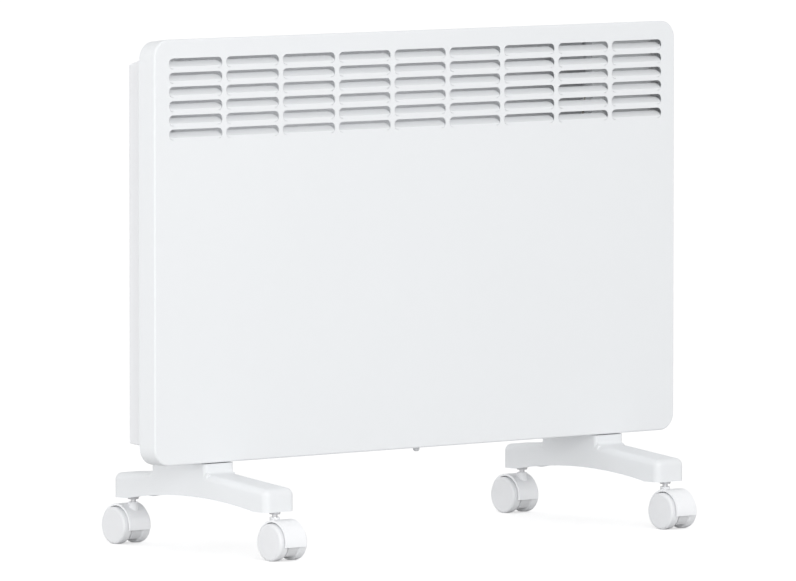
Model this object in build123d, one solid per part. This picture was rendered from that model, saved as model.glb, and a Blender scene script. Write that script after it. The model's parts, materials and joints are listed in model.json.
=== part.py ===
from build123d import *
from math import atan, cos, degrees, sin, sqrt
import os

# A panel convector heater on two cross feet with four swivelling twin-wheel castors.
# Millimetres. X runs along the width, +Y points to the back, +Z is up.
# The origin is on the floor, under the middle of the castors.

# Fits and clearances
running_fit = 0.05  # radial, turning shaft in its bore
seat_fit = 0.02  # radial, fixed pin or plug in its bore
screw_fit = 0.1  # radial, screw shank in its hole
part_gap = 0.3  # between neighbouring parts that do not touch
wheel_side_gap = 0.4  # between a wheel and the hub web beside it

# Castors
wheel_radius = 20.0
wheel_width = 12.0
wheel_space = 14.0  # between the inner faces of a pair
wheel_rim_round = 2.8
axle_radius = 2.5
axle_bore_end_wall = 2.2
castor_trail = 12.1
hood_clearance = 1.2
hood_wall = 2.3
hood_width = 27.6
hood_drop = 4.4  # how far the hood's lips reach below the axle
hub_radius = 19.2
hub_low = 5.4  # height of the web's flat lower edge
boss_radius = 5.5
boss_rise = 25.2  # top of the stem boss above the axle
stem_radius = 2.9
stem_seat = 15.0  # length of stem held in the hood
stem_reach = 15.0  # length of stem inside the foot
neck_gap = 3.1  # bare stem between boss and socket flange

# Castor sockets in the feet
socket_radius = 5.0
socket_flange_top_radius = 6.4
socket_flange_low_radius = 5.7
socket_flange_depth = 2.7
socket_end_wall = 2.0

# Feet
foot_spacing = 556.2
foot_width = 41.0
foot_length = 255.6
stem_spacing = 235.4
foot_corner = 8.0
foot_wall = 2.6
foot_height = 46.4  # from the foot's underside up to the front shell
foot_arch_span = 212.0
foot_arch_rise = 9.2
foot_neck_front = -27.4
foot_neck_back = 63.4
foot_neck_corner = 5.0
foot_neck_fillet = 4.0
foot_blend_inset = 0.3  # of the fillet's sides, inside the arm's
foot_blend_corner = 3.0
foot_edge_round = 7.6
front_arm_root = 34.5  # arm heights above the foot's underside
front_arm_tip = 24.2
back_arm_root = 30.6
back_arm_tip = 26.2
neck_shell_gap = 1.2
neck_step = 0.6  # behind the front shell's rear edge
foot_boss_radius = 8.0
foot_rib = 2.0
foot_rib_places = (-92.0, -58.0, 88.0)
foot_rib_gap = 9.0  # below the ribs

# Front shell
panel_width = 740.0
panel_height = 451.0
panel_corner = 19.0
shell_depth = 26.0
shell_top_taper = 3.0
sheet = 1.0
fold_radius = 2.0
front_face_y = -31.1

# Louvres
louvre_columns = 9
louvre_rows = 6
louvre_length = 73.4
louvre_height = 11.4
louvre_pitch_x = 78.4
louvre_pitch_z = 15.0
louvre_top_margin = 20.4
louvre_slit = 0.4
louvre_tab = 8.8  # slot top down to the bend line
louvre_hook = 6.0
louvre_angle = 49.0

# Rear housing
casing_depth = 100.0
housing_side_step = 46.0  # in from the front shell's side
housing_width = panel_width - 2 * housing_side_step
housing_back_top = 420.0  # heights above the front shell's lower edge
housing_back_low = 16.0
housing_top_slope = 0.30
housing_low_slope = 0.072
housing_edge_round = 2.0
flange_recess = 1.0
inlet_columns = 10
inlet_rows = 4
inlet_pitch_x = 47.0
inlet_pitch_y = 14.0
inlet_length = 40.0
inlet_width = 6.0
bracket_spacing_x = 400.0
bracket_spacing_z = 220.0
bracket_centre_z = 215.0
bracket_hole_radius = 3.2

# Casing screws and their lugs
lug_reach = 18.0
lug_height = 12.0
lug_thickness = 1.5
lug_hole_radius = 1.9
casing_screw_length = 9.0
screw_head_radius = 3.6
screw_head_height = 2.2
lug_offset = 358.0
lug_heights = (45.0, 165.0, 285.0, 405.0)  # above the front shell's lower edge

# Heating element
element_length = 520.0
element_core_radius = 7.0
element_blade = 34.0
element_blade_thickness = 1.8
element_blade_angle = 35.0
element_nib = 7.0
element_centre_y = 26.0
element_centre_z = 82.0  # above the front shell's lower edge
rod_radius = 4.0
rod_overhang = 32.0
terminal_pin_radius = 1.5
terminal_pin_length = 12.0
insulator_radius = 8.0
insulator_collar_radius = 10.0
insulator_length = 12.0
insulator_collar = 3.0
bracket_sheet = 1.5
bracket_width = 36.0
bracket_foot = 22.0
rivet_radius = 2.0
rivet_head_radius = 3.6
rivet_head = 1.2

# Heat shield behind the element
shield_half_width = 255.0
shield_low = 30.0
shield_high = 300.0
shield_gap = 14.0
shield_sheet = 0.8
shield_window = 12.0

# Overheat cut-out
cutout_x = 120.0
cutout_height = 150.0
cutout_radius = 8.5
cutout_body = 9.0
cutout_cap_radius = 6.5
cutout_cap = 4.0
cutout_tab_length = 8.0

# Control unit in the sloping top
control_side_step = 36.0  # in from the housing's side
control_x = housing_width / 2 - control_side_step
control_y = 32.0
fascia_width = 58.0
fascia_length = 62.0
fascia_thickness = 3.0
fascia_corner = 6.0
control_opening_width = 50.0
control_opening_length = 54.0
control_wall = 2.0
control_depth = 34.0
control_front_step = 29.0
control_front_side_gap = 26.0  # to the front shell's side
control_front_left = control_x - control_front_step
control_front_right = panel_width / 2 - control_front_side_gap
control_front_y = -19.1
control_front_low = 335.0
control_front_high = 440.0
window_width = 36.0
window_length = 15.0
window_thickness = 1.6
window_offset = 14.0
button_radius = 5.0
button_gap = 0.3
button_pitch = 16.0
button_offset = -14.0
button_proud = 1.4
button_travel = 1.2
button_skirt_radius = 6.2
button_skirt = 1.2
board_thickness = 1.6
board_drop = 12.0
display_height = 11.0
switch_dome_radius = 2.2
board_margin = 1.0

# Mains switch on the right side of the housing
switch_centre_y = 34.0
switch_centre_z = 300.0
switch_frame_length = 31.0
switch_frame_width = 22.0
switch_frame_lip = 1.6
switch_body_length = 27.0
switch_body_width = 18.0
switch_body_depth = 16.0
rocker_length = 22.0
rocker_width = 13.0
rocker_tilt = 8.0
rocker_pin_radius = 1.5
rocker_pin_depth = 1.8
rocker_thickness = 4.0
rocker_rise = 4.6
rocker_pivot_depth = 3.0

# Wiring parts
terminal_side_step = 32.0  # in from the housing's side
terminal_x = housing_width / 2 - terminal_side_step
terminal_length = 30.0
terminal_poles = 3
terminal_pole_pitch = 11.0
terminal_height = 14.0
terminal_depth = 16.0
terminal_z = 190.0
inlet_y = 34.0
inlet_z = 52.0
gland_hex = 20.0
gland_collar = 4.0
gland_body_radius = 6.5
gland_body_length = 12.0
gland_nose = 9.0
gland_bore_radius = 3.8
lead_radius = 1.3
lead_bend_clear = 15.0  # before the terminal block

# Room temperature sensor
sensor_x = 24.7
sensor_y = 4.0
sensor_radius = 3.5
sensor_tip_below = 7.4  # below the front shell's lower edge
sensor_top_above = 30.0
grommet_radius = 6.5
grommet_groove_radius = 5.0
grommet_lip = 1.6

# Tip-over switch
tilt_side_step = 38.0
tilt_x = tilt_side_step - housing_width / 2
tilt_z = 260.0
tilt_size = 24.0
tilt_depth = 15.0

# Foot screws
foot_screw_offset = 20.0
foot_screw_radius = 2.4
foot_screw_head_radius = 4.6
foot_screw_head = 3.0
foot_screw_length = 18.0
foot_screw_seat = 49.0  # height of the head seat above the foot's underside

# Derived places
hood_inner = wheel_radius + hood_clearance
hood_outer = hood_inner + hood_wall
axle_z = wheel_radius
boss_top_z = axle_z + boss_rise
socket_low_z = boss_top_z + neck_gap
foot_low_z = socket_low_z + socket_flange_depth
panel_low_z = foot_low_z + foot_height
panel_top_z = panel_low_z + panel_height
panel_mid_z = panel_low_z + panel_height / 2
shell_back_y = front_face_y + shell_depth
back_y = front_face_y + casing_depth
flange_back_y = shell_back_y - flange_recess
flange_front_y = flange_back_y - sheet
foot_x = foot_spacing / 2
stem_y = stem_spacing / 2
element_z = panel_low_z + element_centre_z
top_angle = degrees(atan(housing_top_slope))
socket_length = stem_reach + part_gap + socket_end_wall
inner_back_y = back_y - sheet
web_half = wheel_space / 2 - wheel_side_gap


# Basic shapes


def front_plane(y):
    return Plane(origin=(0, y, 0), x_dir=(1, 0, 0), z_dir=(0, -1, 0))


def side_plane(x):
    return Plane(origin=(x, 0, 0), x_dir=(0, 1, 0), z_dir=(1, 0, 0))


def slab(sketch, near, far):
    return extrude(front_plane(far) * sketch, amount=far - near)


def block(x0, x1, y0, y1, z0, z1):
    low_corner = (Align.MIN, Align.MIN, Align.MIN)
    return Pos(x0, y0, z0) * Box(x1 - x0, y1 - y0, z1 - z0, align=low_corner)


def bar(start, end, radius, end_radius=None):
    axis = Vector(*end) - Vector(*start)
    on_end = (Align.CENTER, Align.CENTER, Align.MIN)
    if end_radius is None:
        shape = Cylinder(radius, axis.length, align=on_end)
    else:
        shape = Cone(radius, end_radius, axis.length, align=on_end)
    return Plane(origin=start, z_dir=axis) * shape


def wire_run(points, radius, bend=5.0):
    path = FilletPolyline(*points, radius=bend)
    return sweep(Plane(origin=path @ 0, z_dir=path % 0) * Circle(radius), path=path)


def save(name, *shapes):
    solids = [solid for shape in shapes for solid in shape.solids()]
    whole = solids[0] if len(solids) == 1 else Compound(solids)
    export_step(whole, f"parts/{name}.step")


# Front shell with its louvres


def shell_height(y):
    return panel_height - shell_top_taper * (y - front_face_y) / shell_depth


def shell_outline(y, inset):
    height = shell_height(y)
    corner = panel_corner - inset
    outline = RectangleRounded(panel_width - 2 * inset, height - 2 * inset, corner)
    return Pos(0, panel_low_z + height / 2) * outline


def shell_prism(near, far, inset):
    first = front_plane(near) * shell_outline(near, inset)
    last = front_plane(far) * shell_outline(far, inset)
    return loft([first.face(), last.face()], ruled=True)


def louvre_outline(inset):
    return SlotOverall(louvre_length - 2 * inset, louvre_height - 2 * inset)


def louvre_shapes():
    bend = louvre_height / 2 - louvre_tab
    above = Pos(0, bend + louvre_height / 2) * Rectangle(louvre_length, louvre_height)
    below = Pos(0, bend - louvre_height / 2) * Rectangle(louvre_length, louvre_height)
    middle = Rectangle(louvre_length - 2 * louvre_hook, louvre_height)
    kept = (louvre_outline(louvre_slit) + middle) & below
    opening = louvre_outline(0) - kept
    cutter = Pos(0, 0, -bend) * slab(opening, -sheet, 2 * sheet)
    flat_tab = Pos(0, 0, -bend) * slab(louvre_outline(louvre_slit) & above, 0, sheet)
    return cutter, Rot(X=-louvre_angle) * flat_tab


def louvre_places():
    first_bend = panel_top_z - louvre_top_margin - louvre_tab
    middle = (louvre_columns - 1) / 2
    return [
        Pos((column - middle) * louvre_pitch_x, front_face_y, first_bend - row * louvre_pitch_z)
        for column in range(louvre_columns)
        for row in range(louvre_rows)
    ]


def lug_places():
    return [(side, panel_low_z + height) for side in (-1, 1) for height in lug_heights]


def front_shell():
    outer = shell_prism(front_face_y, shell_back_y, 0)
    outer = fillet(outer.edges().group_by(Axis.Y)[0], fold_radius)
    shell = outer - shell_prism(front_face_y + sheet, shell_back_y + sheet, sheet)
    lugs = []
    holes = []
    for side, z in lug_places():
        tip = side * (panel_width / 2 - lug_reach)
        root = side * (panel_width / 2 - sheet / 2)
        near = flange_front_y - lug_thickness
        lugs.append(
            block(min(tip, root), max(tip, root), near, flange_front_y, z - lug_height / 2, z + lug_height / 2)
        )
        holes.append(
            bar((side * lug_offset, near - 1, z), (side * lug_offset, flange_front_y + 1, z), lug_hole_radius)
        )
    cutter, tab = louvre_shapes()
    shell = shell - [place * cutter for place in louvre_places()]
    shell = shell + [place * tab for place in louvre_places()]
    return shell + lugs - holes


# Rear housing


def housing_top_z(y):
    return panel_low_z + housing_back_top + housing_top_slope * (back_y - y)


def housing_low_z(y):
    return panel_low_z + housing_back_low - housing_low_slope * (back_y - y)


def housing_prism(inset, near):
    low = inset * sqrt(1 + housing_low_slope**2)
    high = inset * sqrt(1 + housing_top_slope**2)
    far = back_y - inset
    profile = Polygon(
        (near, housing_low_z(near) + low),
        (far, housing_low_z(far) + low),
        (far, housing_top_z(far) - high),
        (near, housing_top_z(near) - high),
        align=None,
    )
    half = housing_width / 2 - inset
    return extrude(side_plane(-half) * profile, amount=2 * half)


def control_plane():
    slope = (0, housing_top_slope, 1)
    return Plane(origin=(control_x, control_y, housing_top_z(control_y)), x_dir=(1, 0, 0), z_dir=slope)


def inlet_slots():
    slots = []
    middle_y = (sensor_y + grommet_radius + inner_back_y) / 2 + 1
    for column in range(inlet_columns):
        for row in range(inlet_rows):
            x = (column - (inlet_columns - 1) / 2) * inlet_pitch_x
            y = middle_y + (row - (inlet_rows - 1) / 2) * inlet_pitch_y
            z = housing_low_z(y)
            slot = Pos(x, y, z - 3) * SlotOverall(inlet_length, inlet_width)
            slots.append(extrude(slot, amount=6))
    return slots


def bracket_places():
    return [
        (sx * bracket_spacing_x / 2, panel_low_z + bracket_centre_z + sz * bracket_spacing_z / 2)
        for sx in (-1, 1)
        for sz in (-1, 1)
    ]


def foot_screw_places(side):
    middle = (shell_back_y + foot_neck_back) / 2
    return [(side * foot_x, middle + end * foot_screw_offset) for end in (-1, 1)]


def rear_housing():
    outer = housing_prism(0, flange_front_y)
    front_edges = outer.edges().group_by(Axis.Y)[0]
    outer = fillet([e for e in outer.edges() if e not in front_edges], housing_edge_round)
    housing = outer - housing_prism(sheet, flange_front_y - 1)
    cuts = inlet_slots()
    for x, z in bracket_places():
        cuts.append(bar((x, inner_back_y - 1, z), (x, back_y + 1, z), bracket_hole_radius))
    for side in (-1, 1):
        for x, y in foot_screw_places(side):
            z = housing_low_z(y)
            cuts.append(bar((x, y, z - 3), (x, y, z + 4), foot_screw_radius + screw_fit))
    for x, z in rivet_places():
        cuts.append(bar((x, inner_back_y - 1, z), (x, back_y + 1, z), rivet_radius + seat_fit))
    low = housing_low_z(sensor_y)
    sensor_hole = grommet_groove_radius + seat_fit
    cuts.append(bar((sensor_x, sensor_y, low - 3), (sensor_x, sensor_y, low + 4), sensor_hole))
    opening = Box(control_opening_width, control_opening_length, 12)
    cuts.append(control_plane() * opening)
    wall = housing_width / 2
    inlet_height = panel_low_z + inlet_z
    thread = gland_body_radius + screw_fit
    cuts.append(bar((wall - 3, inlet_y, inlet_height), (wall + 2, inlet_y, inlet_height), thread))
    z = panel_low_z + switch_centre_z
    half_y = switch_body_width / 2 + part_gap
    half_z = switch_body_length / 2 + part_gap
    y = switch_centre_y
    cuts.append(block(wall - 3, wall + 2, y - half_y, y + half_y, z - half_z, z + half_z))
    return housing - cuts


def housing_flange():
    flange = slab(shell_outline(flange_back_y, sheet + part_gap), flange_front_y, flange_back_y)
    flange = flange - housing_prism(0, flange_front_y - 1)
    radius = lug_hole_radius + screw_fit
    holes = []
    for side, z in lug_places():
        x = side * lug_offset
        holes.append(bar((x, flange_front_y - 1, z), (x, flange_back_y + 1, z), radius))
    return flange - holes


def casing_screws():
    screws = []
    for side, z in lug_places():
        x = side * lug_offset
        tip = flange_back_y - casing_screw_length
        shank = bar((x, flange_back_y, z), (x, tip, z), lug_hole_radius - seat_fit)
        head = bar((x, flange_back_y, z), (x, flange_back_y + screw_head_height, z), screw_head_radius)
        slot = block(x - 2.6, x + 2.6, flange_back_y + 1.2, back_y, z - 0.5, z + 0.5)
        cross = block(x - 0.5, x + 0.5, flange_back_y + 1.2, back_y, z - 2.6, z + 2.6)
        screws.append(shank + head - slot - cross)
    return screws


# Heating element and its holders


def heating_element():
    start = side_plane(-element_length / 2)
    profile = Circle(element_core_radius)
    for side in (-1, 1):
        turn = 90 + side * element_blade_angle
        blade = Rectangle(2 * element_blade, element_blade_thickness)
        nib = Rectangle(element_blade_thickness, element_nib)
        nibs = [Pos(end * element_blade, 0) * nib for end in (-1, 1)]
        profile = profile + Rot(Z=turn) * (blade + nibs)
    profile = profile - Circle(rod_radius + seat_fit)
    placed = Plane(origin=(start.origin.X, element_centre_y, element_z), x_dir=(0, 1, 0), z_dir=(1, 0, 0))
    return extrude(placed * profile, amount=element_length)


def heater_rod():
    half = element_length / 2 + rod_overhang
    y = element_centre_y
    rod = bar((-half, y, element_z), (half, y, element_z), rod_radius)
    tip = half + terminal_pin_length
    return rod + bar((-tip, y, element_z), (tip, y, element_z), terminal_pin_radius)


def insulator_start():
    return element_length / 2 + 8.0


def element_insulators():
    pieces = []
    for side in (-1, 1):
        first = side * insulator_start()
        collar = side * (insulator_start() + insulator_collar)
        last = side * (insulator_start() + insulator_length)
        y = element_centre_y
        body = bar((first, y, element_z), (collar, y, element_z), insulator_collar_radius)
        body = body + bar((collar, y, element_z), (last, y, element_z), insulator_radius)
        bore = bar((first - side, y, element_z), (last + side, y, element_z), rod_radius + seat_fit)
        pieces.append(body - bore)
    return pieces


def rivet_places():
    x = insulator_start() + insulator_collar + bracket_foot * 0.6
    return [(sx * x, element_z + sz * bracket_width * 0.3) for sx in (-1, 1) for sz in (-1, 1)]


def element_brackets():
    pieces = []
    for side in (-1, 1):
        near = insulator_start() + insulator_collar
        low = element_z - bracket_width / 2
        high = element_z + bracket_width / 2
        front = element_centre_y - bracket_width / 2
        edges = sorted((side * near, side * (near + bracket_sheet)))
        plate = block(edges[0], edges[1], front, inner_back_y, low, high)
        edges = sorted((side * near, side * (near + bracket_foot)))
        plate = plate + block(edges[0], edges[1], inner_back_y - bracket_sheet, inner_back_y, low, high)
        hole_start = (side * (near - 1), element_centre_y, element_z)
        hole_end = (side * (near + 3), element_centre_y, element_z)
        plate = plate - bar(hole_start, hole_end, insulator_radius + seat_fit)
        for x, z in rivet_places():
            hole = bar((x, inner_back_y - 4, z), (x, back_y, z), rivet_radius + seat_fit)
            plate = plate - hole
        pieces.append(plate)
    return pieces


def bracket_rivets():
    pieces = []
    for x, z in rivet_places():
        seat = inner_back_y - bracket_sheet
        head = bar((x, seat, z), (x, seat - rivet_head, z), rivet_head_radius, rivet_radius)
        pieces.append(head + bar((x, seat, z), (x, back_y, z), rivet_radius))
    return pieces


def shield_front_y():
    return inner_back_y - shield_gap - shield_sheet


def heat_shield():
    low = panel_low_z + shield_low
    high = panel_low_z + shield_high
    half = shield_half_width
    front = shield_front_y()
    shield = block(-half, half, front, front + shield_sheet, low, high)
    shield = shield + block(-half, half, front, inner_back_y, low, low + shield_sheet)
    shield = shield + block(-half, half, front, inner_back_y, high - shield_sheet, high)
    for x, z in bracket_places():
        if z < high:
            shield = shield - bar((x, front - 1, z), (x, front + 3, z), shield_window)
    return shield


def cutout_z():
    return element_z + 46.0


def cutout_centre_y():
    return element_centre_y + 2.0


def cutout_bracket():
    back = shield_front_y()
    z = cutout_z()
    x = cutout_x
    front = cutout_centre_y() - cutout_radius - 3
    arm = block(x - 13, x + 13, front, back, z, z + bracket_sheet)
    arm = arm + block(x - 13, x + 13, back - bracket_sheet, back, z, z + 22)
    y = cutout_centre_y()
    return arm - bar((x, y, z - 1), (x, y, z + 3), cutout_cap_radius + seat_fit)


def thermal_cutout():
    x = cutout_x
    y = cutout_centre_y()
    seat = cutout_z() + bracket_sheet
    top = seat + cutout_body
    body = bar((x, y, seat), (x, y, top), cutout_radius)
    body = body + bar((x, y, seat), (x, y, seat - cutout_cap), cutout_cap_radius)
    for side in (-1, 1):
        edges = sorted((x + side * 3, x + side * (cutout_radius + cutout_tab_length)))
        body = body + block(edges[0], edges[1], y - 3, y + 3, top, top + 0.8)
    return body


# Control unit


def control_box(width, length, low, high):
    middle = (low + high) / 2
    return control_plane() * Pos(0, 0, middle) * Box(width, length, high - low)


def control_shell(inset):
    width = control_opening_width - 2 * part_gap - 2 * inset
    length = control_opening_length - 2 * part_gap - 2 * inset
    high = inset
    tilted = control_box(width, length, inset - control_depth, high)
    front = block(
        control_front_left + inset,
        control_front_right - inset,
        control_front_y + inset,
        flange_front_y - 1 - inset,
        panel_low_z + control_front_low + inset,
        panel_low_z + control_front_high - inset,
    )
    half = width / 2 - 3
    bridge = block(
        control_x - half,
        control_x + half,
        control_front_y + 2 + inset,
        control_y,
        housing_top_z(control_y) - 18 + inset,
        housing_top_z(control_y) - 4 - inset,
    )
    return tilted + front + bridge


def control_housing():
    housing = control_shell(0) - control_shell(control_wall)
    floor = control_wall - control_depth - 0.5
    board_low = -board_drop - board_thickness
    for sx in (-1, 1):
        for sy in (-1, 1):
            post = Pos(sx * 19, sy * 21, (floor + board_low) / 2) * Cylinder(2.5, board_low - floor)
            housing = housing + control_plane() * post
    return housing


def button_places():
    return [(step * button_pitch, button_offset) for step in (-1, 0, 1)]


def control_fascia():
    plate = Pos(0, 0, fascia_thickness / 2) * Box(fascia_width, fascia_length, fascia_thickness)
    plate = fillet(plate.edges().filter_by(Axis.Z), fascia_corner)
    plate = fillet(plate.edges().group_by(Axis.Z)[-1], 1.0)
    pocket_z = fascia_thickness - window_thickness / 2
    pocket_width = window_width + 2 * seat_fit
    pocket_length = window_length + 2 * seat_fit
    plate = plate - Pos(0, window_offset, pocket_z) * Box(pocket_width, pocket_length, window_thickness)
    plate = plate - Pos(0, window_offset, 0) * Box(window_width - 4, window_length - 4, 10)
    for x, y in button_places():
        plate = plate - Pos(x, y, 0) * Cylinder(button_radius + button_gap, 20)
    return control_plane() * plate


def display_window():
    middle = fascia_thickness - window_thickness / 2
    return control_box_at(0, window_offset, middle, window_width, window_length, window_thickness)


def control_box_at(x, y, z, width, length, height):
    return control_plane() * Pos(x, y, z) * Box(width, length, height)


def display_module():
    middle = -board_drop + display_height / 2
    return control_box_at(0, window_offset, middle, window_width - 2, window_length - 2, display_height)


def control_board():
    width = control_opening_width - 2 * part_gap - 2 * control_wall - 2 * board_margin
    length = control_opening_length - 2 * part_gap - 2 * control_wall - 2 * board_margin
    board = Pos(0, 0, -board_drop - board_thickness / 2) * Box(width, length, board_thickness)
    for x, y in button_places():
        board = board + Pos(x, y, -board_drop + 1) * Cylinder(switch_dome_radius, 2.5)
    return control_plane() * board


def button(place):
    x, y = place
    top = fascia_thickness + button_proud
    foot = -8.0
    cap = Pos(x, y, top / 2 - 0.5) * Cylinder(button_radius, top + 1.0)
    cap = fillet(cap.edges().group_by(Axis.Z)[-1], 0.8)
    skirt = Pos(x, y, -part_gap - button_skirt / 2) * Cylinder(button_skirt_radius, button_skirt)
    stem = Pos(x, y, foot / 2) * Cylinder(1.6, -foot)
    return control_plane() * (cap + skirt + stem)


# Mains switch


def switch_z():
    return panel_low_z + switch_centre_z


def rocker_pivot_x():
    return housing_width / 2 - rocker_pivot_depth


def switch_box(x0, x1, width, length):
    y = switch_centre_y
    z = switch_z()
    return block(x0, x1, y - width / 2, y + width / 2, z - length / 2, z + length / 2)


def power_switch_frame():
    wall = housing_width / 2
    inner = wall - switch_body_depth
    lip = switch_box(wall, wall + switch_frame_lip, switch_frame_width, switch_frame_length)
    lip = fillet(lip.edges().filter_by(Axis.X), 2.0)
    lip = fillet(lip.edges().group_by(Axis.X)[-1], 0.8)
    frame = lip + switch_box(inner, wall, switch_body_width, switch_body_length)
    frame = frame - switch_box(inner + 2, wall + 5, rocker_width, rocker_length)
    half = rocker_width / 2 + rocker_pin_depth
    x = rocker_pivot_x()
    y = switch_centre_y
    pins = bar((x, y - half, switch_z()), (x, y + half, switch_z()), rocker_pin_radius + running_fit)
    return frame - pins


def power_rocker():
    reach = rocker_length / 2 - part_gap
    rise = rocker_rise
    edge = rocker_rise + reach * 0.14
    ring = Circle(reach)
    profile = Polygon(
        (-rocker_thickness, -reach), (-rocker_thickness, reach), (edge, reach), (rise, 0), (edge, -reach), align=None
    )
    section = ring & profile
    half = rocker_width / 2 - part_gap
    place = Plane(origin=(rocker_pivot_x(), switch_centre_y, switch_z()), x_dir=(1, 0, 0), z_dir=(0, -1, 0))
    body = extrude(section, amount=half, both=True)
    pin = Cylinder(rocker_pin_radius, rocker_width + 2 * (rocker_pin_depth - part_gap))
    return place * Rot(Z=-rocker_tilt) * (body + pin)


# Wiring parts


def terminal_low_z():
    return panel_low_z + terminal_z


def terminal_xs():
    return [terminal_x + step * terminal_pole_pitch for step in (-1, 0, 1)]


def terminal_y():
    return inner_back_y - terminal_depth / 2


def terminal_block():
    half = (terminal_poles * terminal_pole_pitch + 2) / 2
    front = inner_back_y - terminal_depth
    low = terminal_low_z()
    high = low + terminal_height
    body = block(terminal_x - half, terminal_x + half, front, inner_back_y, low, high)
    middle = (low + high) / 2
    for x in terminal_xs():
        bore = bar((x, terminal_y(), low - 1), (x, terminal_y(), high + 1), lead_radius + seat_fit)
        well = bar((x, front - 1, middle), (x, terminal_y() - 3, middle), 2.4)
        body = body - bore - well
    return body


def cable_inlet():
    wall = housing_width / 2
    y = inlet_y
    z = panel_low_z + inlet_z
    plane = Plane(origin=(wall, y, z), x_dir=(0, 1, 0), z_dir=(1, 0, 0))
    nut = extrude(plane * RegularPolygon(gland_hex / 2, 6, major_radius=False), amount=gland_collar)
    dome = bar((wall + gland_collar, y, z), (wall + gland_collar + gland_nose, y, z), 8.6, 6.6)
    body = bar((wall - gland_body_length, y, z), (wall, y, z), gland_body_radius)
    ring = bar((wall - sheet - 4, y, z), (wall - sheet, y, z), gland_hex / 2)
    bore = bar((wall - 20, y, z), (wall + 20, y, z), gland_bore_radius)
    return nut + dome + body + ring - bore


def element_leads():
    pin = element_length / 2 + rod_overhang + terminal_pin_length
    y = element_centre_y
    low = terminal_low_z()
    poles = terminal_xs()
    tab_z = cutout_z() + bracket_sheet + cutout_body + 0.8 + lead_radius
    tab_y = cutout_centre_y()
    run = pin + 8
    back = terminal_y()
    right = wire_run(
        [(pin, y, element_z), (run, y, element_z), (run, back, element_z + 40), (poles[2], back, low - 30),
         (poles[2], back, low)],
        lead_radius,
    )
    left_tab = cutout_x - cutout_radius - cutout_tab_length
    left = wire_run(
        [(-pin, y, element_z), (-run, y, element_z), (-run, tab_y, tab_z), (left_tab + 6, tab_y, tab_z)],
        lead_radius,
    )
    right_tab = cutout_x + cutout_radius + cutout_tab_length
    middle = wire_run(
        [
            (right_tab - 6, tab_y, tab_z),
            (poles[0] - lead_bend_clear, tab_y, tab_z),
            (poles[0], back, low - 24),
            (poles[0], back, low),
        ],
        lead_radius,
    )
    return [right, left, middle]


def control_leads():
    poles = terminal_xs()
    top = terminal_low_z() + terminal_height
    back = terminal_y()
    inner = housing_width / 2 - switch_body_depth
    leads = []
    for x, lift in ((poles[0], -6), (poles[2], 6)):
        z = switch_z() + lift
        leads.append(
            wire_run([(x, back, top), (x, back, z - 22), (x - 2, switch_centre_y, z), (inner, switch_centre_y, z)],
                     lead_radius)
        )
    floor = (control_plane() * Pos(0, 0, -control_depth)).position
    end = floor.Z - lead_radius * housing_top_slope - 0.05
    leads.append(
        wire_run([(poles[1], back, top), (poles[1], back, top + 20), (floor.X, floor.Y, end - 20),
                  (floor.X, floor.Y, end)], lead_radius)
    )
    return leads


def sensor_top_z():
    return panel_low_z + sensor_top_above


def room_sensor():
    low = panel_low_z - sensor_tip_below
    body = bar((sensor_x, sensor_y, low), (sensor_x, sensor_y, sensor_top_z()), sensor_radius)
    return fillet(body.edges().group_by(Axis.Z)[0], 2.5)


def sensor_grommet():
    low = housing_low_z(sensor_y)
    x = sensor_x
    y = sensor_y
    skew = grommet_radius * housing_low_slope + 0.1
    lower = bar((x, y, low - skew - grommet_lip), (x, y, low - skew), grommet_radius)
    upper = bar((x, y, low + sheet + skew), (x, y, low + sheet + skew + grommet_lip), grommet_radius)
    middle = bar((x, y, low - skew - grommet_lip), (x, y, low + sheet + skew + grommet_lip), grommet_groove_radius)
    bore = bar((x, y, low - 10), (x, y, low + 10), sensor_radius + seat_fit)
    return lower + upper + middle - bore


def sensor_lead():
    start = sensor_top_z()
    side = control_front_left + 9
    turn_y = (control_front_y + flange_front_y - 1) / 2
    end = panel_low_z + control_front_low
    return wire_run(
        [(sensor_x, sensor_y, start), (sensor_x, sensor_y, start + 9), (side, sensor_y, start + 9),
         (side, turn_y, start + 24), (side, turn_y, end)],
        lead_radius,
    )


def tilt_switch():
    half = tilt_size / 2
    z = panel_low_z + tilt_z
    back = inner_back_y
    body = block(tilt_x - half, tilt_x + half, back - tilt_depth, back, z - half, z + half)
    body = fillet(body.edges().filter_by(Axis.Y), 2.0)
    ears = block(tilt_x - half - 7, tilt_x + half + 7, back - 2.5, back, z - 5, z + 5)
    return body + ears - bar((tilt_x - 6, back - tilt_depth, z), (tilt_x + 6, back - tilt_depth, z), 1.0)


# Feet


def arm_lines():
    front_slope = (front_arm_root - front_arm_tip) / (foot_length / 2 + foot_neck_front)
    back_slope = (back_arm_root - back_arm_tip) / (foot_length / 2 - foot_neck_back)
    return front_slope, back_slope


def arm_prism(inset, low):
    front_slope, back_slope = arm_lines()
    end = foot_length / 2
    meet = (back_arm_tip - front_arm_tip + (back_slope - front_slope) * end) / (front_slope + back_slope)
    crown = front_arm_tip + front_slope * (meet + end)
    tip = end - inset
    profile = Polygon(
        (-tip, foot_low_z + low),
        (tip, foot_low_z + low),
        (tip, foot_low_z + back_arm_tip + back_slope * inset - inset),
        (meet, foot_low_z + crown - inset),
        (-tip, foot_low_z + front_arm_tip + front_slope * inset - inset),
        align=None,
    )
    half = foot_width / 2 - inset
    prism = extrude(side_plane(-half) * profile, amount=2 * half)
    prism = fillet(prism.edges().filter_by(Axis.Z), foot_corner - inset)
    top = [e for e in prism.edges() if e.center().Z > foot_low_z + front_arm_tip - inset - 1]
    ridge = [e for e in top if abs(e.center().Y - meet) < 0.1 and abs(e.center().X) < 0.1]
    return fillet([e for e in top if e not in ridge], foot_edge_round - inset)


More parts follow.
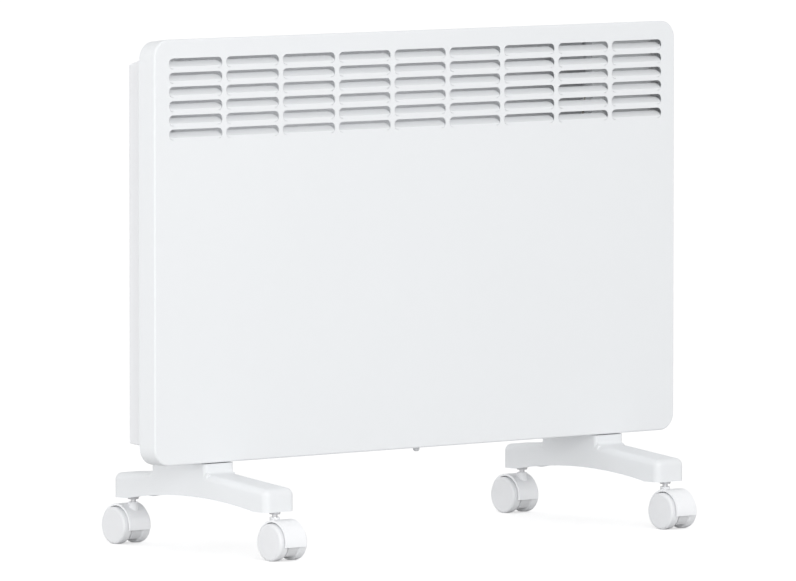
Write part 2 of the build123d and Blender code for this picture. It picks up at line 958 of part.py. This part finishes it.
def neck_prism(inset, low):
    step = shell_back_y + neck_step + inset
    front = foot_neck_front + inset
    back = foot_neck_back - inset
    ledge = panel_low_z - neck_shell_gap - inset
    profile = Polygon(
        (front, foot_low_z + low),
        (back, foot_low_z + low),
        (back, housing_low_z(back) - inset),
        (step, housing_low_z(step) - inset),
        (step, ledge),
        (front, ledge),
        align=None,
    )
    half = foot_width / 2 - inset
    prism = extrude(side_plane(-half) * profile, amount=2 * half)
    plan = Pos(0, (front + back) / 2, foot_low_z + low) * RectangleRounded(
        2 * half, back - front, foot_neck_corner - inset
    )
    return prism & extrude(plan, amount=100)


def neck_blend(end):
    radius = foot_neck_fillet
    if end < 0:
        face = foot_neck_front
        height = foot_low_z + front_arm_root
        slope = arm_lines()[0]
    else:
        face = foot_neck_back
        height = foot_low_z + back_arm_root
        slope = arm_lines()[1]
    half = foot_width / 2 - foot_blend_inset
    edges = sorted((face + end * (radius - 2 * foot_blend_inset), face - end * foot_neck_corner))
    wedge = block(-half, half, edges[0], edges[1], height - 6, height + radius - foot_blend_inset)
    centre_y = face + end * radius
    centre_z = height - slope * radius + radius
    wedge = wedge - bar((-half - 1, centre_y, centre_z), (half + 1, centre_y, centre_z), radius)
    plan = RectangleRounded(2 * half, edges[1] - edges[0], foot_blend_corner)
    collar = extrude(Pos(0, (edges[0] + edges[1]) / 2, foot_low_z) * plan, amount=100)
    lifted_arm = Pos(0, 0, radius - foot_blend_inset) * arm_prism(foot_blend_inset, 0)
    return wedge & lifted_arm & collar


def foot(side):
    outer = arm_prism(0, 0) + neck_prism(0, 18) + neck_blend(-1) + neck_blend(1)
    inner = arm_prism(foot_wall, -4) + neck_prism(foot_wall, 0)
    half = foot_width / 2
    kept = []
    bores = []
    for end in (-1, 1):
        y = end * stem_y
        kept.append(bar((0, y, foot_low_z), (0, y, foot_low_z + 40), foot_boss_radius))
        bores.append(bar((0, y, foot_low_z - 1), (0, y, foot_low_z + socket_length), socket_radius + seat_fit))
    for y in foot_rib_places:
        kept.append(
            block(-half, half, y - foot_rib / 2, y + foot_rib / 2, foot_low_z + foot_arch_rise + 3, panel_low_z)
        )
    for x, y in foot_screw_places(side):
        seat = foot_low_z + foot_screw_seat
        kept.append(bar((0, y, seat), (0, y, seat + 20), foot_boss_radius))
        bores.append(bar((0, y, seat - 1), (0, y, seat + 20), foot_screw_radius + screw_fit))
    arch_radius = ((foot_arch_span / 2) ** 2 + foot_arch_rise**2) / (2 * foot_arch_rise)
    arch_z = foot_low_z + foot_arch_rise - arch_radius
    arch = bar((-half - 1, 0, arch_z), (half + 1, 0, arch_z), arch_radius)
    shape = outer - (inner - kept) - arch - bores
    return Pos(side * foot_x, 0, 0) * shape


def foot_screws():
    pieces = []
    for side in (-1, 1):
        for x, y in foot_screw_places(side):
            seat = foot_low_z + foot_screw_seat
            head = bar((x, y, seat - foot_screw_head), (x, y, seat), foot_screw_head_radius)
            shank = bar((x, y, seat), (x, y, seat + foot_screw_length), foot_screw_radius)
            plane = Plane(origin=(x, y, seat - foot_screw_head))
            socket = extrude(plane * RegularPolygon(2.0, 6), amount=2.0)
            pieces.append(head + shank - socket)
    return pieces


def castor_places():
    return [(side, end) for side in (-1, 1) for end in (-1, 1)]


def castor_sockets():
    pieces = []
    for side, end in castor_places():
        x = side * foot_x
        y = end * stem_y
        flange = bar((x, y, socket_low_z), (x, y, foot_low_z), socket_flange_low_radius, socket_flange_top_radius)
        body = bar((x, y, foot_low_z), (x, y, foot_low_z + socket_length), socket_radius)
        depth = foot_low_z + stem_reach + part_gap
        bore = bar((x, y, socket_low_z - 1), (x, y, depth), stem_radius + running_fit)
        pieces.append(flange + body - bore)
    return pieces


# Castors, with the stem at the local origin and the axle towards local +Y


def along_x(radius, half):
    return bar((-half, castor_trail, axle_z), (half, castor_trail, axle_z), radius)


def castor_hood():
    lip = axle_z - hood_drop
    above = block(-30, 30, castor_trail - 40, castor_trail + 40, lip, lip + 60)
    fender = along_x(hood_outer, hood_width / 2) - along_x(hood_inner, hood_width / 2 + 1)
    fender = fender & above
    web = along_x(hood_inner + 0.6, web_half) & above
    hub = along_x(hub_radius, web_half) & block(-30, 30, castor_trail - 40, castor_trail + 40, hub_low, lip + 60)
    boss = bar((0, 0, axle_z), (0, 0, boss_top_z), boss_radius)
    hood = fender + web + hub + boss
    stem_hole = bar((0, 0, boss_top_z - stem_seat), (0, 0, boss_top_z + 1), stem_radius + seat_fit)
    return hood - stem_hole - along_x(axle_radius + seat_fit, 20)


def castor_stem():
    return bar((0, 0, boss_top_z - stem_seat), (0, 0, foot_low_z + stem_reach), stem_radius)


def castor_axle():
    return along_x(axle_radius, wheel_space / 2 + wheel_width - axle_bore_end_wall - part_gap)


def castor_wheel(side):
    near = side * wheel_space / 2
    far = side * (wheel_space / 2 + wheel_width)
    y = castor_trail
    tyre = bar((near, y, axle_z), (far, y, axle_z), wheel_radius)
    tyre = fillet(tyre.edges().filter_by(GeomType.CIRCLE), wheel_rim_round)
    bore_end = (far - side * axle_bore_end_wall, y, axle_z)
    bore = bar((near - side, y, axle_z), bore_end, axle_radius + running_fit)
    return tyre - bore


def save_castor(side, end):
    place = Pos(side * foot_x, end * stem_y, 0) * Rot(Z=0 if end > 0 else 180)
    name = f"castor_{'front' if end < 0 else 'back'}_{'left' if side < 0 else 'right'}"
    save(f"{name}_hood", place * castor_hood())
    save(f"{name}_stem", place * castor_stem())
    save(f"{name}_axle", place * castor_axle())
    save(f"{name}_wheel_l", place * castor_wheel(-end))
    save(f"{name}_wheel_r", place * castor_wheel(end))


os.makedirs("parts", exist_ok=True)
save("front_shell", front_shell())
save("rear_housing", rear_housing())
save("housing_flange", housing_flange())
save("casing_screws", *casing_screws())
save("heating_element", heating_element())
save("heater_rod", heater_rod())
save("element_insulators", *element_insulators())
save("element_brackets", *element_brackets())
save("bracket_rivets", *bracket_rivets())
save("heat_shield", heat_shield())
save("cutout_bracket", cutout_bracket())
save("thermal_cutout", thermal_cutout())
save("control_housing", control_housing())
save("control_fascia", control_fascia())
save("display_window", display_window())
save("display_module", display_module())
save("control_board", control_board())
for name, place in zip(("button_minus", "button_mode", "button_plus"), button_places()):
    save(name, button(place))
save("power_switch_frame", power_switch_frame())
save("power_rocker", power_rocker())
save("terminal_block", terminal_block())
save("cable_inlet", cable_inlet())
save("element_leads", *element_leads())
save("control_leads", *control_leads())
save("room_sensor", room_sensor())
save("sensor_grommet", sensor_grommet())
save("sensor_lead", sensor_lead())
save("tilt_switch", tilt_switch())
save("foot_left", foot(-1))
save("foot_right", foot(1))
save("foot_screws", *foot_screws())
save("castor_sockets", *castor_sockets())
for side, end in castor_places():
    save_castor(side, end)
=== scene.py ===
import json
import math

import bpy
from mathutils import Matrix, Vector

# A panel convector heater on castors, seen from its front left corner.

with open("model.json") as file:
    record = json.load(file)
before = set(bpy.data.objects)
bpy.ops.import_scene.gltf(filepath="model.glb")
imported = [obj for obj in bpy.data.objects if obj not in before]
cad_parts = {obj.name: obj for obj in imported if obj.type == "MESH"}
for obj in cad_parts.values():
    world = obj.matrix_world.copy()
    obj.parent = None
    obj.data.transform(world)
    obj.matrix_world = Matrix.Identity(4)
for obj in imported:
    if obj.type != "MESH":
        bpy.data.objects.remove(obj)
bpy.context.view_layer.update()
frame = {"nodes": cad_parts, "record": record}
nodes = frame["nodes"]

# Places are in metres, powers in watts and angles in degrees.

camera_place = (-7.20896, -8.34576, 1.03562)
camera_yaw = 40.8009  # from the back towards the right
camera_dip = 3.9934
camera_lens = 463.238
camera_reach = 200.0

sky_level = 1.35
sky_drop = 0.60  # from the horizon to overhead
floor_tone = 0.72
floor_lift = 0.52
floor_reach = 60.0
key_power = 77.0
key_place = (-2.7, -4.3, 1.3)
side_power = 30.0
side_place = (-4.6, 1.0, 0.35)
lamp_size = 2.4
lamp_aim = (0, 0, 0.3)
inner_power = 0.15
inner_place = (-0.03, -0.018, 0.33)
inner_width = 0.56
inner_height = 0.20

castor_lip = 0.0156  # lower edge of the castor hoods; the web between the wheels is below it
plastic_ior = 1.5


# Shader tools


def linear(red, green, blue):
    """Colour on a 0 to 255 display scale, as the shader wants it."""
    levels = [value / 255 for value in (red, green, blue)]
    return tuple(v / 12.92 if v <= 0.04045 else ((v + 0.055) / 1.055) ** 2.4 for v in levels)


def dimmed(colour, share):
    return tuple(share * value for value in colour)


class Value:
    """A socket that takes part in arithmetic."""

    def __init__(self, tree, socket):
        self.tree = tree
        self.socket = socket

    def maths(self, operation, first, second):
        return self.tree.node("ShaderNodeMath", {"operation": operation}, {0: first, 1: second})

    def __add__(self, other):
        return self.maths("ADD", self, other)

    def __sub__(self, other):
        return self.maths("SUBTRACT", self, other)

    def __rsub__(self, other):
        return self.maths("SUBTRACT", other, self)

    def __mul__(self, other):
        return self.maths("MULTIPLY", self, other)

    def at_least(self, other):
        return self.maths("MAXIMUM", self, other)

    def clamp(self):
        return self.tree.node("ShaderNodeClamp", {}, {"Value": self})


class ShaderTree:
    """The emptied node tree of a material or a world, filled node by node."""

    def __init__(self, owner, output_kind):
        owner.use_nodes = True
        self.tree = owner.node_tree
        self.tree.nodes.clear()
        self.out = self.tree.nodes.new(output_kind)

    def node(self, kind, settings, inputs, output=0):
        made = self.tree.nodes.new(kind)
        for key, value in settings.items():
            if key == "stops":
                self.set_stops(made.color_ramp, value)
            else:
                setattr(made, key, value)
        for key, value in inputs.items():
            socket = made.inputs[key]
            if isinstance(value, Value):
                self.tree.links.new(value.socket, socket)
            else:
                socket.default_value = value
        return Value(self, made.outputs[output])

    def set_stops(self, ramp, stops):
        while len(ramp.elements) < len(stops):
            ramp.elements.new(1.0)
        for element, (position, level) in zip(ramp.elements, stops):
            element.position = position
            element.color = (level, level, level, 1)

    def show(self, shader):
        self.tree.links.new(shader.socket, self.out.inputs["Surface"])

    def ray(self, kind):
        """1 for rays of one kind, 0 for all others."""
        return self.node("ShaderNodeLightPath", {}, {}, output=f"Is {kind} Ray")

    def height_of(self, place):
        return self.node("ShaderNodeSeparateXYZ", {}, {"Vector": place}, output="Z")


class Finish(ShaderTree):
    """A material built from nodes."""

    def __init__(self, name):
        self.material = bpy.data.materials.new(name)
        super().__init__(self.material, "ShaderNodeOutputMaterial")
        self.place = self.node("ShaderNodeTexCoord", {}, {}, output="Object")

    def noise(self, scale, detail=3.0, stretch=None):
        place = self.place
        if stretch is not None:
            place = self.node("ShaderNodeVectorMath", {"operation": "MULTIPLY"}, {0: place, 1: stretch})
        return self.node("ShaderNodeTexNoise", {}, {"Vector": place, "Scale": scale, "Detail": detail})

    def between(self, factor, first, second):
        """Mix of two colours, whose sockets come after those for numbers and vectors."""
        inputs = {0: factor, 6: (*first, 1), 7: (*second, 1)}
        return self.node("ShaderNodeMix", {"data_type": "RGBA"}, inputs, output=2)

    def edges(self):
        """1 on rubbed outer edges, 0 elsewhere."""
        sharpness = self.node("ShaderNodeNewGeometry", {}, {}, output="Pointiness")
        stops = [(0.0, 0.0), (0.52, 0.0), (0.60, 1.0)]
        return self.node("ShaderNodeValToRGB", {"stops": stops}, {"Fac": sharpness})

    def bump(self, height, depth):
        return self.node("ShaderNodeBump", {}, {"Height": height, "Strength": 1.0, "Distance": depth})

    def surface(self, constants, varying):
        self.show(self.node("ShaderNodeBsdfPrincipled", {}, {**constants, **varying}))
        return self.material


# Finishes


def powder_coat(name, colour, roughness=0.50, peel=0.000012):
    """White baked powder coat with faint clouds and orange peel."""
    finish = Finish(name)
    cloud = finish.noise(5.0, 4.0) * 0.5 + finish.noise(60.0) * 0.25
    tone = finish.between(cloud, colour, dimmed(colour, 0.965))
    rough = finish.noise(220.0, 2.0) * 0.10 + (roughness - 0.05)
    skin = finish.bump(finish.noise(650.0, 1.5), peel)
    return finish.surface({"IOR": plastic_ior}, {"Base Color": tone, "Roughness": rough, "Normal": skin})


def moulded(name, colour, roughness, grain, depth, soft=0.0):
    """Moulded plastic with a fine grain, rubbed smooth on its edges."""
    finish = Finish(name)
    tone = finish.between(finish.noise(90.0, 4.0) * 0.6, colour, dimmed(colour, 0.93))
    rough = finish.noise(400.0, 2.0) * 0.12 + (roughness - 0.06) - finish.edges() * 0.08
    skin = finish.bump(finish.noise(grain, 2.0), depth)
    constants = {
        "IOR": plastic_ior,
        "Subsurface Weight": soft,
        "Subsurface Radius": (0.004, 0.004, 0.004),
    }
    return finish.surface(constants, {"Base Color": tone, "Roughness": rough.clamp(), "Normal": skin})


def castor_hood(name, colour, roughness):
    """Gloss nylon, with painted shade on the web that runs down between the wheels, below the hood's
    lip.
    """
    finish = Finish(name)
    place = finish.node("ShaderNodeNewGeometry", {}, {})
    # Painted shade: below the hood's lip, the web between the wheels is darkened to 0.75 of the hood's
    # colour to stand for the shade in that recess. The small noise only adds random tone all over.
    painted_shade_below_lip = ((castor_lip - finish.height_of(place)) * 1500.0).clamp()
    grime = finish.noise(160.0, 4.0) * 0.06
    tone = finish.between((painted_shade_below_lip + grime).clamp(), colour, dimmed(colour, 0.75))
    rough = finish.noise(400.0, 2.0) * 0.12 + (roughness - 0.06)
    skin = finish.bump(finish.noise(700.0, 2.0), 0.00001)
    return finish.surface({"IOR": plastic_ior}, {"Base Color": tone, "Roughness": rough, "Normal": skin})


def metal(name, colour, roughness, stretch, depth=0.00001):
    """Bare metal with drawn or rolled lines and small dull spots."""
    finish = Finish(name)
    lines = finish.noise(700.0, 3.0, stretch)
    spots = finish.noise(120.0, 5.0)
    tone = finish.between(lines * 0.5 + spots * 0.4, colour, dimmed(colour, 0.72))
    rough = (lines * 0.18 + spots * 0.12 + (roughness - 0.12)).clamp()
    skin = finish.bump(lines, depth)
    return finish.surface({"Metallic": 1.0}, {"Base Color": tone, "Roughness": rough, "Normal": skin})


def dark_glass(name):
    """Smoked window with faint wipe marks."""
    finish = Finish(name)
    wipe = finish.noise(90.0, 6.0, (1.0, 0.2, 1.0))
    tone = finish.between(wipe, (0.010, 0.012, 0.014), (0.018, 0.02, 0.023))
    constants = {"IOR": plastic_ior, "Coat Weight": 0.3}
    return finish.surface(constants, {"Base Color": tone, "Roughness": wipe * 0.08 + 0.04})


finishes = {
    # Casing and feet
    "enamel": powder_coat("enamel", linear(241, 243, 245)),
    # Painted light: the housing's white is set lighter than the shell's to make up for the shade that
    # the shell's flange casts on the recessed housing.
    "housing_enamel": powder_coat("housing_enamel", linear(249, 250, 252)),
    "foot_paint": powder_coat("foot_paint", linear(240, 242, 244), 0.42),
    # Metal inside and below; lines run along the least stretched axis
    "screw_steel": metal("screw_steel", (0.55, 0.55, 0.57), 0.35, (1, 1, 12)),
    "element_aluminium": metal("element_aluminium", (0.55, 0.56, 0.59), 0.42, (0.05, 1, 1)),
    "rod_steel": metal("rod_steel", (0.33, 0.31, 0.30), 0.40, (0.1, 1, 1)),
    "sheet_steel": metal("sheet_steel", (0.62, 0.63, 0.65), 0.38, (0.3, 1, 1)),
    "castor_steel": metal("castor_steel", (0.82, 0.82, 0.84), 0.34, (1, 1, 10)),
    "stem_steel": metal("stem_steel", (0.82, 0.82, 0.84), 0.28, (1, 1, 10)),
    # Mouldings, each with its roughness, the scale of its grain and the grain's depth
    "ceramic": moulded("ceramic", (0.74, 0.71, 0.62), 0.55, 500.0, 0.00004),
    "dark_plastic": moulded("dark_plastic", (0.02, 0.02, 0.022), 0.5, 900.0, 0.00002),
    "rocker_plastic": moulded("rocker_plastic", (0.015, 0.015, 0.017), 0.28, 900.0, 0.000006),
    "control_plastic": moulded("control_plastic", linear(214, 216, 218), 0.5, 900.0, 0.00002),
    "fascia_plastic": moulded("fascia_plastic", linear(232, 233, 235), 0.42, 900.0, 0.00002),
    "window": dark_glass("window"),
    "board": moulded("board", (0.012, 0.09, 0.035), 0.35, 300.0, 0.00004),
    "button_plastic": moulded("button_plastic", linear(176, 178, 182), 0.42, 900.0, 0.00001),
    "terminal_plastic": moulded("terminal_plastic", linear(226, 222, 208), 0.4, 600.0, 0.00002),
    "lead_sleeve": moulded("lead_sleeve", linear(205, 198, 186), 0.65, 1500.0, 0.0001),
    "sensor_plastic": moulded("sensor_plastic", linear(226, 228, 230), 0.3, 700.0, 0.00001),
    "grommet_rubber": moulded("grommet_rubber", (0.03, 0.03, 0.03), 0.7, 500.0, 0.00003),
    # Castors
    "castor_plastic": castor_hood("castor_plastic", linear(251, 252, 254), 0.32),
    "wheel_plastic": moulded("wheel_plastic", linear(240, 241, 243), 0.36, 700.0, 0.00001, 0.08),
}

for entry in frame["record"]["subparts"]:
    piece = nodes[entry["node"]]
    piece.data.materials.clear()
    piece.data.materials.append(finishes[entry["material_slot"]])


# Floor, light and camera


def placed(name, data, place):
    made = bpy.data.objects.new(name, data)
    bpy.context.scene.collection.objects.link(made)
    made.location = place
    return made


def floor_finish():
    """White floor that keeps the soft shadow of what stands on it."""
    finish = Finish("studio_floor")
    tone = (floor_tone, floor_tone, floor_tone, 1)
    diffuse = finish.node("ShaderNodeBsdfDiffuse", {}, {"Color": tone})
    glow = finish.node("ShaderNodeEmission", {}, {"Strength": finish.ray("Camera") * floor_lift})
    finish.show(finish.node("ShaderNodeAddShader", {}, {0: diffuse, 1: glow}))
    return finish.material


def add_floor():
    mesh = bpy.data.meshes.new("studio_floor")
    corners = [(x * floor_reach, y * floor_reach, 0) for x, y in ((-1, -1), (1, -1), (1, 1), (-1, 1))]
    mesh.from_pydata(corners, [], [(0, 1, 2, 3)])
    mesh.materials.append(floor_finish())
    placed("studio_floor", mesh, (0, 0, 0))


def add_world():
    """White behind the heater; for its light, a sky that is dimmer overhead."""
    world = bpy.data.worlds.new("studio")
    bpy.context.scene.world = world
    sky = ShaderTree(world, "ShaderNodeOutputWorld")
    seen = sky.ray("Camera").at_least(sky.ray("Glossy")).at_least(sky.ray("Transmission"))
    direction = sky.node("ShaderNodeTexCoord", {}, {}, output="Generated")
    level = sky_level - sky.height_of(direction).at_least(0.0) * sky_drop
    strength = level + seen * (1.0 - level)
    sky.show(sky.node("ShaderNodeBackground", {}, {"Strength": strength}))


def add_lamp(name, place, power):
    panel = bpy.data.lights.new(name, "AREA")
    panel.shape = "DISK"
    panel.size = lamp_size
    panel.energy = power
    towards = Vector(lamp_aim) - Vector(place)
    placed(name, panel, place).rotation_euler = towards.to_track_quat("-Z", "Y").to_euler()


def add_inner_lamp():
    """Faint light on the housing's back wall, for the grey that shows through the slots."""
    panel = bpy.data.lights.new("inner_fill", "AREA")
    panel.shape = "RECTANGLE"
    panel.size = inner_width
    panel.size_y = inner_height
    panel.energy = inner_power
    lamp = placed("inner_fill", panel, inner_place)
    lamp.rotation_euler = (math.radians(90), 0, 0)
    lamp.visible_camera = False


def add_camera():
    data = bpy.data.cameras.new("camera")
    data.lens = camera_lens
    data.sensor_width = 36.0
    data.clip_end = camera_reach
    camera = placed("camera", data, camera_place)
    camera.rotation_euler = (math.radians(90 - camera_dip), 0, math.radians(-camera_yaw))
    bpy.context.scene.camera = camera


add_floor()
add_world()
add_lamp("soft_key", key_place, key_power)
add_lamp("side_fill", side_place, side_power)
add_inner_lamp()
add_camera()
bpy.context.scene.view_settings.view_transform = "Standard"
